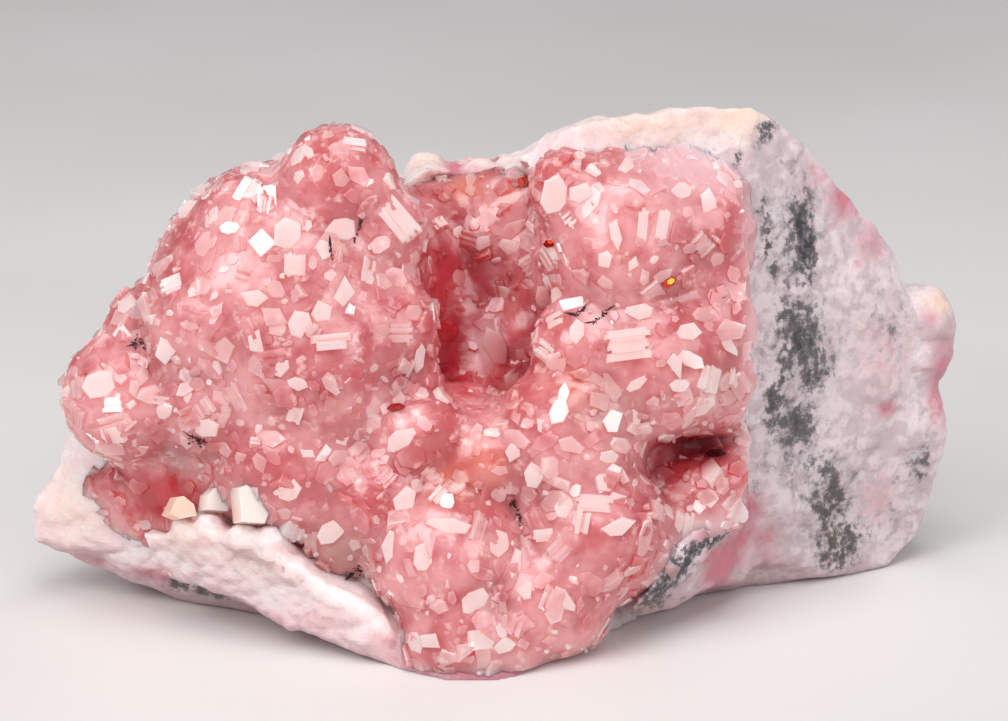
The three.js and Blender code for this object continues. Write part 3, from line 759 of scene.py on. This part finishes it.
# Patches of colour on the rock, in the same way.
ROCK_PATCHES = {
    "band": (
        (14.9, 12.6, 18.2, 1.7, 3.9, 0.9), (15.1, 12.2, 12.6, 2.0, 3.6, 1.0),
        (14.9, 11.8, 8.6, 1.9, 3.4, 1.0), (16.9, 12.8, 5.0, 1.7, 2.4, 0.9),
        (17.8, 13.4, 1.8, 1.6, 1.2, 0.9), (19.9, 15.0, 13.8, 1.3, 2.2, 0.5),
        (21.7, 15.5, 5.2, 0.9, 2.0, 0.8), (20.6, 15.0, 2.8, 1.0, 1.2, 0.6),
        (8.4, 5.4, 2.2, 1.7, 1.3, 0.7), (-14.2, 8.6, 1.0, 1.6, 0.5, 0.9),
        (13.2, 13.2, 23.4, 0.9, 0.9, 0.5), (2.0, 21.0, 9.0, 5.0, 6.0, 0.6),
        (-9.0, 18.0, 4.0, 4.0, 3.0, 0.7),
    ),
    "streak": (
        (15.2, 13.2, 18.7, 0.55, 0.9, 1.0), (15.5, 13.2, 17.2, 0.45, 1.3, 1.2),
        (13.2, 12.2, 19.7, 0.35, 0.6, 0.7), (13.4, 12.2, 18.2, 0.28, 0.9, 0.7),
        (13.8, 12.0, 16.9, 0.3, 0.6, 0.5), (14.6, 12.1, 14.6, 0.7, 0.9, 0.6),
        (15.4, 12.2, 13.0, 0.9, 1.1, 0.9), (15.9, 12.3, 11.4, 0.6, 0.9, 0.8),
        (14.3, 11.6, 12.2, 0.5, 0.8, 0.5), (13.9, 11.1, 10.4, 0.5, 1.1, 0.9),
        (15.2, 11.8, 8.8, 0.8, 0.9, 0.5), (16.4, 12.3, 6.6, 0.7, 0.8, 0.4),
        (16.9, 12.6, 4.3, 0.8, 1.1, 0.7), (17.6, 13.1, 2.6, 1.1, 0.9, 0.6),
        (17.4, 13.1, 1.2, 1.0, 0.6, 0.8), (22.0, 15.6, 5.6, 0.35, 1.0, 0.5),
        (13.4, 13.4, 23.5, 0.4, 0.5, 0.9), (11.9, 12.2, 22.3, 0.28, 0.4, 0.8),
        (-15.5, 8.6, 1.5, 0.8, 0.5, 1.0), (-14.2, 7.2, 1.7, 0.8, 0.5, 1.0),
        (-13.0, 6.0, 1.8, 0.9, 0.35, 0.8), (10.6, 6.8, 4.6, 0.7, 0.4, 1.6),
        (9.8, 5.8, 4.5, 0.7, 0.45, 2.0), (9.4, 5.4, 4.1, 0.6, 0.5, 1.8), (8.9, 5.2, 3.7, 0.6, 0.6, 1.9),
        (8.3, 5.0, 3.1, 0.6, 0.7, 1.8), (7.7, 5.0, 2.4, 0.5, 0.8, 1.3),
        (3.0, 21.0, 12.0, 1.2, 3.0, 0.8), (-8.0, 19.0, 3.0, 1.5, 1.0, 0.8),
    ),
    "olive": (
        (17.3, 12.9, 4.6, 1.0, 1.2, 0.8), (16.9, 12.7, 2.6, 1.1, 1.1, 0.9),
        (17.8, 13.3, 1.4, 1.0, 0.6, 0.7), (7.6, 5.0, 1.8, 0.8, 0.7, 0.9),
        (-14.6, 7.6, 1.5, 1.8, 0.45, 0.8),
    ),
    "pink": (
        (12.0, 8.6, 3.6, 1.3, 1.1, 1.6), (13.6, 10.6, 3.2, 1.2, 0.9, 0.7),
        (11.0, 7.4, 3.4, 0.8, 0.8, 1.4), (17.5, 15.0, 19.8, 1.1, 1.4, 1.0),
        (16.2, 14.4, 20.8, 1.5, 1.2, 0.5), (18.8, 15.2, 17.2, 1.3, 1.4, 0.6),
        (19.4, 14.9, 11.4, 2.4, 3.4, 0.35), (22.8, 16.4, 9.8, 0.9, 2.8, 0.9),
        (19.9, 14.6, 8.8, 0.6, 0.6, 0.9), (19.6, 14.4, 4.0, 1.4, 1.6, 0.45),
        (22.0, 15.6, 13.1, 0.6, 0.6, 0.6), (12.6, 9.6, 4.8, 0.9, 1.0, 1.2),
        (11.4, 8.8, 2.6, 1.4, 1.1, 1.4), (10.6, 9.6, 1.2, 1.6, 0.7, 1.0),
        (13.6, 11.2, 2.2, 1.3, 1.2, 0.5), (9.8, 11.2, 21.6, 2.0, 1.2, 0.5),
        (-18.3, 9.4, 4.6, 0.8, 0.8, 0.6), (-16.6, 8.9, 1.9, 1.3, 0.5, 0.9),
        (-10.2, 7.2, 1.6, 1.5, 0.6, 0.8), (-19.9, 10.8, 2.0, 1.3, 0.4, 0.8),
        (-7.8, 4.6, 2.0, 1.9, 0.9, 0.5), (-5.0, 3.2, 1.2, 1.6, 0.8, 0.6),
        (0.0, 1.0, 0.4, 5.0, 0.8, 1.3), (-0.8, 16.6, 20.2, 2.4, 0.8, 0.9),
        (10.4, 6.8, 5.1, 1.2, 0.6, 0.8), (-1.9, 16.6, 20.4, 0.7, 1.0, 1.3),
        (6.0, 20.0, 6.0, 3.0, 3.0, 0.5), (-4.0, 20.0, 12.0, 3.0, 3.0, 0.5),
    ),
    "cream": (
        (12.0, 13.2, 24.2, 2.0, 1.1, 1.0), (8.0, 12.6, 24.0, 4.5, 1.0, 0.7),
        (22.6, 16.2, 13.9, 1.0, 0.7, 1.0), (-20.8, 10.4, 5.0, 1.8, 1.6, 0.6),
        (-14.8, 8.0, 5.2, 2.4, 0.8, 0.6), (-11.0, 6.8, 4.6, 2.2, 0.8, 0.4),
        (-3.2, 17.0, 20.6, 0.9, 0.8, 0.9), (0.6, 16.4, 20.8, 1.4, 0.8, 0.5),
    ),
}


def patch_strength(points, patches):
    """How strongly each point lies in the patch that covers it most. A patch reaches further back
    than it is wide."""
    strength = np.zeros(len(points))
    for *centre, across, up, most in patches:
        offset = (points - np.array(centre)) / np.array([across, across * 2 + 0.8, up])
        strength = np.maximum(strength, most * np.exp(-(offset**2).sum(1)))
    return strength


# -------------------- small crystals

# The shigaite plates: the pixel where each shows, its length, breadth and thickness in mm, its
# slant in degrees, and the tones of its rim and of the smaller plate grown on it, from dark red
# at 0 over red at 0.5 and orange at 1 to yellow at 1.3; the yellow above 1 is a painted glint.
SHIGAITE = {
    1: ((396, 407), 0.92, 0.42, 0.2, 6, 0.3, 0.36),
    2: ((669, 282), 0.8, 0.55, 0.25, 30, 0.5, 1.2),
    3: ((549, 244), 0.62, 0.42, 0.2, 10, 0.2, 0.85),
    4: ((716, 454), 1.0, 0.48, 0.24, -8, -0.1, -0.1),
    5: ((523, 182), 0.9, 0.6, 0.3, 80, 0.5, 0.75),
}

# The oxide tufts: the pixel where each shows, its length and breadth in mm, its slant in degrees,
# and how many blades stand up from it.
OXIDE = {
    1: ((141, 344), 0.85, 0.5, -15, 4),
    2: ((358, 229), 1.15, 0.16, 68, 3),
    3: ((331, 250), 0.95, 0.14, 95, 2),
    4: ((197, 440), 0.95, 0.65, -50, 7),
    5: ((578, 313), 0.6, 0.16, 35, 3),
    6: ((600, 317), 0.95, 0.16, 45, 4),
    7: ((518, 515), 1.35, 0.26, -62, 5),
    8: ((357, 571), 1.0, 0.4, 50, 7),
}

# The calcite rhombs: the outline of the face that each turns forwards, in mm from its middle, its
# depth, and the tones of its face and its left side, from cream at 0 to peach at 1.
CALCITE = {
    1: (
        ((-0.75, -0.35), (-0.35, 0.45), (-0.05, 0.5), (0.45, 0.1), (0.6, -0.45), (-0.2, -0.6)),
        1.0, 0.45, 0.6,
    ),
    2: (
        ((-0.4, 1.0), (0.0, 1.15), (1.05, 0.5), (1.1, -0.1), (0.85, -0.7), (-0.25, -0.6)),
        1.3, 0.0, 0.7,
    ),
    3: (
        ((-0.6, -0.4), (-0.5, 0.3), (-0.1, 0.65), (0.4, 0.6), (0.65, 0.1), (0.5, -0.5)),
        0.9, 0.0, 0.1,
    ),
}


def finish_crystal(piece, node, material):
    piece.name = piece.data.name = f"{node}_crystal"
    piece.data.materials.clear()
    piece.data.materials.append(material)
    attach(piece, "root")
    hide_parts(node)


def ring(length, breadth, height, turn=0.0):
    """The corners of an oval hexagon."""
    return [
        Vector((math.cos(a) * length / 2, math.sin(a) * breadth / 2, height))
        for a in (math.pi / 3 * i + turn for i in range(6))
    ]


def build_shigaite(surfaces, material):
    for number, (pixel, length, breadth, thickness, slant, tone, top_tone) in SHIGAITE.items():
        lower = ring(length * 0.9, breadth * 0.86, -thickness)
        lower += ring(length, breadth, -thickness * 0.3)
        lower += ring(length * 0.92, breadth * 0.88, thickness * 0.1)
        upper = ring(length * 0.6, breadth * 0.6, -thickness * 0.4, 0.2)
        upper += ring(length * 0.5, breadth * 0.5, thickness * 0.5, 0.2)
        upper = [corner + Vector((length * 0.08, breadth * 0.1, 0)) for corner in upper]
        piece = piece_of("lower", [hull(lower)])
        boolean(piece, piece_of("upper", [hull(upper)]), "UNION")
        grown = coordinates(piece.data)[:, 2] > thickness * 0.3
        set_attribute(piece.data, "tone", np.where(grown, top_tone, tone))
        spot, turn = seen_at(surfaces, place(CAMERA_AT), pixel, slant)
        spot += turn @ Vector((0, 0, thickness * 0.5)) * MM
        piece.data.transform(Matrix.LocRotScale(spot, turn, Vector((MM, MM, MM))))
        finish_crystal(piece, f"shigaite_plate_{number}", material)


def grain(rng, at, size):
    """A ragged little grain."""
    corners = [Vector([rng.gauss(0, 1) for _ in range(3)]).normalized() for _ in range(8)]
    return hull([at + corner * size * rng.uniform(0.6, 1.2) for corner in corners])


def blade(base, direction, length, width):
    """A thin pointed blade."""
    turn = direction.to_track_quat("Z", "X")
    points = []
    for z, share in ((-0.1, 0.7), (0.4, 1.0), (1.0, 0.1)):
        for x, y in ((-1, 0), (0, -0.4), (1, 0), (0, 0.4)):
            points.append(base + turn @ Vector((x * width * share, y * width * share, z * length)))
    return hull(points)


def build_tuft(number, surfaces, material):
    """A string of black grains along the surface, with blades standing up from it."""
    rng = random.Random(number * 17)
    pixel, length, breadth, slant, blades = OXIDE[number]
    spot, turn = seen_at(surfaces, place(CAMERA_AT), pixel, slant)
    shapes = []
    for _ in range(round(22 + 60 * length * breadth)):
        along, across = rng.uniform(-0.5, 0.5) * length, rng.gauss(0, 0.35) * breadth
        start = spot + turn @ Vector((along, across, 0)) * MM
        at, _, _, _ = surfaces.find_nearest(start)
        shapes.append(grain(rng, at, rng.uniform(0.025, 0.085) * MM))
    for _ in range(blades):
        along = rng.uniform(-0.5, 0.5) * length
        base, _, _, _ = surfaces.find_nearest(spot + turn @ Vector((along, 0, 0)) * MM)
        lean = Vector((math.copysign(1, along + 0.1), rng.gauss(0, 0.5), rng.uniform(0.1, 0.6)))
        size = rng.uniform(0.25, 0.55) * MM
        shapes.append(blade(base, turn @ lean, size, size * rng.uniform(0.08, 0.16)))
    piece = piece_of("tuft", shapes)
    finish_crystal(piece, f"oxide_tuft_{number}", material)


def build_calcite(number, material):
    """A cream rhomb with cut corners, in its solid's place."""
    node = f"calcite_rhomb_{number}"
    outline, depth, face_tone, side_tone = CALCITE[number]
    points = []
    for x, y in outline:
        points += [Vector((x * 0.96, y * 0.96, depth * 0.5)), Vector((x, y, depth * 0.42))]
        points.append(Vector((x * 1.05 - 0.2, y * 1.05 - 0.1, -depth * 0.5)))
    piece = piece_of("calcite", [hull(points)])
    left = coordinates(piece.data)[:, 0] < -0.45
    set_attribute(piece.data, "tone", np.where(left, side_tone, face_tone))
    low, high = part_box(node)
    turn = camera_turn() @ Quaternion((0, 1, 0), 0.25)
    middle = (low + high) / 2 + camera_turn() @ Vector((0, 0, 0.5 * MM))
    piece.data.transform(Matrix.LocRotScale(middle, turn, Vector((MM, MM, MM))))
    finish_crystal(piece, node, material)


# -------------------- materials

class Nodes:
    """A material's node tree, with short ways to add to it."""

    def __init__(self, name):
        self.material = bpy.data.materials.new(name)
        self.material.use_nodes = True
        self.tree = self.material.node_tree
        self.shader = self.tree.nodes["Principled BSDF"]
        self.position = self.tree.nodes.new("ShaderNodeTexCoord").outputs["Object"]

    def add(self, kind, inputs=None, **settings):
        node = self.tree.nodes.new(kind)
        for key, value in settings.items():
            setattr(node, key, value)
        for key, value in (inputs or {}).items():
            self.put(node.inputs[key], value)
        return node

    def put(self, socket, value):
        if isinstance(value, bpy.types.NodeSocket):
            self.tree.links.new(value, socket)
        else:
            socket.default_value = value

    def attribute(self, name):
        return self.add("ShaderNodeAttribute", attribute_name=name).outputs["Fac"]

    def axis(self, vector, name):
        return self.add("ShaderNodeSeparateXYZ", {"Vector": vector}).outputs[name]

    def underside(self):
        """How much the surface faces down, from 0 to 1."""
        normal = self.add("ShaderNodeNewGeometry").outputs["True Normal"]
        return self.ramp(self.axis(normal, "Z"), 0.0, -0.7)

    def noise(self, size_mm, detail=3.0, roughness=0.55, stretch=None):
        vector = self.position
        if stretch:
            vector = self.add("ShaderNodeMapping", {"Vector": vector, "Scale": stretch}).outputs[0]
        inputs = {"Vector": vector, "Scale": 1 / (size_mm * MM), "Detail": detail, "Roughness": roughness}
        return self.add("ShaderNodeTexNoise", inputs).outputs["Fac"]

    def ramp(self, value, low, high, smooth=True):
        inputs = {"Value": value, "From Min": low, "From Max": high}
        kind = "SMOOTHSTEP" if smooth else "LINEAR"
        return self.add("ShaderNodeMapRange", inputs, interpolation_type=kind).outputs["Result"]

    def plus(self, a, b):
        return self.add("ShaderNodeMath", {0: a, 1: b}, operation="ADD").outputs[0]

    def times(self, a, b):
        return self.add("ShaderNodeMath", {0: a, 1: b}, operation="MULTIPLY").outputs[0]

    def mix(self, share, a, b):
        node = self.add("ShaderNodeMix", data_type="RGBA")
        self.put(node.inputs[0], share)
        self.put(node.inputs[6], a)
        self.put(node.inputs[7], b)
        return node.outputs[2]

    def set(self, **values):
        for key, value in values.items():
            self.put(self.shader.inputs[key.replace("_", " ")], value)

    def translucent(self, weight, radius, depth_mm):
        self.set(Subsurface_Weight=weight, Subsurface_Radius=radius, Subsurface_Scale=depth_mm * MM)

    def bump(self, height, distance_mm, strength):
        inputs = {"Height": height, "Distance": distance_mm * MM, "Strength": strength}
        return self.add("ShaderNodeBump", inputs).outputs["Normal"]


def colour(r, g, b):
    """A colour given as it looks, 0 to 255, as the linear light that nodes take."""
    def linear(value):
        value /= 255
        return value / 12.92 if value <= 0.04045 else ((value + 0.055) / 1.055) ** 2.4
    return (linear(r), linear(g), linear(b), 1.0)


def rhodochrosite_material(name, roughness, bumpiness, highlight_paint):
    """Pink where the crust is open to the sky, a painted shade of deep red in the hollows, white next to
    the rock.
    """
    nodes = Nodes(name)
    opened = nodes.attribute("open")
    cloud = nodes.noise(3.2, 2.0)
    zones = nodes.noise(1.3, 2.0)
    speck = nodes.noise(0.7, 3.0)
    tone = nodes.plus(nodes.times(cloud, 0.5), nodes.times(zones, 0.5))
    tone = nodes.plus(tone, nodes.times(nodes.attribute("pale"), 0.14))
    # Painted shade with a ruddier tint where the ruddy patches lie.
    tone = nodes.plus(tone, nodes.times(nodes.attribute("ruddy"), -0.2))
    pale = nodes.mix(nodes.ramp(tone, 0.36, 0.64), colour(200, 100, 104), colour(229, 160, 162))
    pale = nodes.mix(nodes.ramp(speck, 0.55, 0.75), pale, colour(240, 190, 186))
    # The deep red of the painted shade in the hollows.
    deep = nodes.mix(nodes.ramp(cloud, 0.4, 0.6), colour(178, 26, 44), colour(206, 52, 64))
    for stain, tint in (("orange", colour(238, 142, 112)), ("smoky", colour(164, 118, 108))):
        pale = nodes.mix(nodes.times(nodes.attribute(stain), 0.8), pale, tint)
    # A painted highlight: the pale looks mix the pink towards near white.
    pale = nodes.mix(highlight_paint, pale, colour(252, 226, 222))
    # Painted shade: darker red where the dark patches lie, in the hollows.
    deep = nodes.mix(nodes.attribute("dark"), deep, colour(122, 16, 26))
    # Painted shade: from pink to deep red as the crust sees less sky.
    shade = nodes.ramp(nodes.plus(opened, nodes.times(zones, 0.25)), 0.18, 0.85)
    pink = nodes.mix(shade, deep, pale)
    nodes.set(
        Base_Color=nodes.mix(nodes.attribute("frosted_and_highlit"), pink, colour(242, 200, 204)),
        Roughness=nodes.plus(nodes.times(nodes.attribute("dark"), 0.6), roughness),
        IOR=1.75,
    )
    nodes.translucent(1.0, (1.0, 0.52, 0.47), 2.5)
    if bumpiness:
        nodes.set(Normal=nodes.bump(nodes.noise(0.45, 4.0), 0.12, bumpiness))
    return nodes.material


def matrix_material():
    """White and pink rock with grey-black bands and olive stains, and painted shade on its undersides."""
    nodes = Nodes("matrix")
    broad = nodes.noise(2.4, 2.0)
    cloud = nodes.noise(1.1, 2.5, 0.5, stretch=(1.25, 1.25, 0.75))
    grains = nodes.noise(0.6, 2.0)
    flecks = nodes.ramp(nodes.noise(0.5, 4.0, 0.7), 0.34, 0.66)
    right = nodes.ramp(nodes.axis(nodes.position, "X"), *ROCK_GREYS)
    pale = nodes.mix(right, colour(252, 236, 235), colour(238, 226, 228))
    shaded = nodes.mix(right, colour(250, 224, 225), colour(213, 195, 199))
    patchy = nodes.plus(nodes.times(broad, 0.4), nodes.times(grains, 0.6))
    white = nodes.mix(nodes.ramp(patchy, 0.42, 0.58), shaded, pale)
    cream = nodes.mix(nodes.attribute("cream"), white, colour(242, 214, 198))
    pinkness = nodes.plus(nodes.attribute("pink"), nodes.times(grains, 1.1))
    pink = nodes.mix(nodes.ramp(pinkness, 0.55, 1.7), cream, colour(212, 128, 142))
    # Painted shade: darker mauve where the rock's surface faces down.
    underside_shade = nodes.mix(nodes.times(nodes.underside(), 0.6), pink, colour(176, 128, 136))
    band = nodes.attribute("band")
    lilac = nodes.mix(nodes.times(band, 0.4), underside_shade, colour(172, 162, 168))
    mottle = nodes.plus(nodes.times(band, 0.32), nodes.times(cloud, 0.6))
    mottle = nodes.plus(mottle, nodes.times(flecks, 0.3))
    share = nodes.plus(nodes.times(flecks, 0.4), 0.22)
    dark = nodes.plus(mottle, nodes.times(nodes.attribute("streak"), share))
    grey = nodes.mix(nodes.ramp(dark, 0.6, 0.95), lilac, colour(106, 100, 104))
    black = nodes.mix(nodes.ramp(dark, 0.95, 1.35), grey, colour(52, 49, 56))
    olive = nodes.times(nodes.attribute("olive"), nodes.plus(flecks, 0.1))
    nodes.set(
        Base_Color=nodes.mix(olive, black, colour(92, 84, 70)),
        Roughness=0.5,
        IOR=1.6,
        Normal=nodes.bump(nodes.noise(0.32, 4.0, 0.65), 0.14, 0.9),
    )
    nodes.translucent(0.9, (1.0, 0.75, 0.72), 0.7)
    return nodes.material


def shigaite_material():
    nodes = Nodes("shigaite")
    tone = nodes.plus(nodes.attribute("tone"), nodes.times(nodes.noise(0.3, 2.0), 0.2))
    red = nodes.mix(nodes.ramp(tone, 0.05, 0.5, False), colour(60, 2, 6), colour(178, 8, 4))
    orange = nodes.mix(nodes.ramp(tone, 0.5, 0.95, False), red, colour(232, 76, 14))
    # Tones above 1 turn yellow: a painted glint, on the second plate's smaller plate.
    nodes.set(
        Base_Color=nodes.mix(nodes.ramp(tone, 1.0, 1.3, False), orange, colour(252, 206, 70)),
        Roughness=0.08,
        IOR=1.58,
    )
    nodes.translucent(0.3, (1.0, 0.12, 0.03), 0.1)
    return nodes.material


def oxide_material():
    nodes = Nodes("manganese_oxide")
    tone = nodes.ramp(nodes.noise(0.25, 3.0), 0.3, 0.7)
    nodes.set(
        Base_Color=nodes.mix(tone, colour(26, 16, 20), colour(74, 54, 62)),
        Roughness=0.34,
        Metallic=0.2,
    )
    return nodes.material


def calcite_material():
    nodes = Nodes("calcite")
    tone = nodes.plus(nodes.attribute("tone"), nodes.times(nodes.noise(0.6, 3.0), 0.3))
    nodes.set(
        Base_Color=nodes.mix(nodes.ramp(tone, 0.15, 1.15), colour(250, 230, 222), colour(242, 182, 150)),
        Roughness=0.2,
        IOR=1.6,
        Normal=nodes.bump(nodes.noise(0.3, 3.0), 0.05, 0.4),
    )
    nodes.translucent(1.0, (1.0, 0.85, 0.75), 0.8)
    return nodes.material


# -------------------- studio

def build_floor():
    bpy.ops.mesh.primitive_plane_add(size=FLOOR_SIZE, location=FLOOR_AT)
    floor = bpy.context.object
    floor.name = "floor"
    nodes = Nodes("floor")
    tone = nodes.ramp(nodes.noise(40.0, 2.0), 0.3, 0.7)
    nodes.set(Base_Color=nodes.mix(tone, colour(226, 222, 220), colour(232, 229, 227)), Roughness=0.6)
    floor.data.materials.append(nodes.material)


def softbox(name, azimuth, elevation, distance, size, radiance):
    turn, rise = math.radians(azimuth), math.radians(elevation)
    away = Vector((math.sin(turn) * math.cos(rise), -math.cos(turn) * math.cos(rise), math.sin(rise)))
    light = bpy.data.lights.new(name, "AREA")
    light.shape = "RECTANGLE"
    light.size, light.size_y = size[0] * MM, size[1] * MM
    light.energy = radiance * math.pi * light.size * light.size_y
    lamp = bpy.data.objects.new(name, light)
    bpy.context.scene.collection.objects.link(lamp)
    lamp.location = place(LIGHTS_AIM) + away * distance * MM
    lamp.rotation_mode = "QUATERNION"
    lamp.rotation_quaternion = away.to_track_quat("Z", "Y")


def build_lights():
    world = bpy.data.worlds.new("studio")
    bpy.context.scene.world = world
    world.use_nodes = True
    background = world.node_tree.nodes["Background"]
    background.inputs["Color"].default_value = WORLD_COLOUR
    background.inputs["Strength"].default_value = WORLD_STRENGTH
    for name, *where in SOFTBOXES:
        softbox(name, *where)


def build_camera():
    camera = bpy.data.objects.new("camera", bpy.data.cameras.new("camera"))
    bpy.context.scene.collection.objects.link(camera)
    bpy.context.scene.camera = camera
    camera.data.lens = CAMERA_LENS
    camera.data.sensor_width = CAMERA_SENSOR
    camera.data.clip_start = 0.01
    camera.data.clip_end = 10.0
    camera.location = place(CAMERA_AT)
    camera.rotation_mode = "QUATERNION"
    camera.rotation_quaternion = camera_turn()


# -------------------- the scene

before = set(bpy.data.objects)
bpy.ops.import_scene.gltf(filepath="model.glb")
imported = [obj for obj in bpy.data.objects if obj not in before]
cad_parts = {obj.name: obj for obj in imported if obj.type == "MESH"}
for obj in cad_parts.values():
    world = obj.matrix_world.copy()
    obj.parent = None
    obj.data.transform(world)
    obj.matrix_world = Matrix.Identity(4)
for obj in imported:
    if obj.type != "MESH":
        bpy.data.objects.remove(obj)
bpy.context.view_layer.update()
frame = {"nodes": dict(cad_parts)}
bpy.context.scene.view_settings.view_transform = "Standard"

build_camera()
build_lights()
build_floor()

matrix_look = matrix_material()
# The blush and pale looks are copies of one material painted paler, as a painted highlight.
crust_looks = {
    DOME: rhodochrosite_material("rhodochrosite_dome", roughness=0.2, bumpiness=0.3, highlight_paint=0.0),
    PINK: rhodochrosite_material("rhodochrosite_pink", roughness=0.2, bumpiness=0.0, highlight_paint=0.0),
    PAINTED_SOFT_HIGHLIGHT: rhodochrosite_material("rhodochrosite_soft_painted_highlight", roughness=0.1, bumpiness=0.0, highlight_paint=0.34),
    PAINTED_HIGHLIGHT: rhodochrosite_material("rhodochrosite_painted_highlight", roughness=0.07, bumpiness=0.0, highlight_paint=0.75),
}

rock_piece = build_rock(frame)
rock_piece.data.materials.clear()
rock_piece.data.materials.append(matrix_look)
crust_piece = build_crust(tree_of([rock_piece]))
for look, material in crust_looks.items():
    crust_piece.data.materials[look] = material

surfaces = tree_of([rock_piece, crust_piece])
build_shigaite(surfaces, shigaite_material())
oxide_look = oxide_material()
for number in OXIDE:
    build_tuft(number, surfaces, oxide_look)
calcite_look = calcite_material()
for number in CALCITE:
    build_calcite(number, calcite_look)
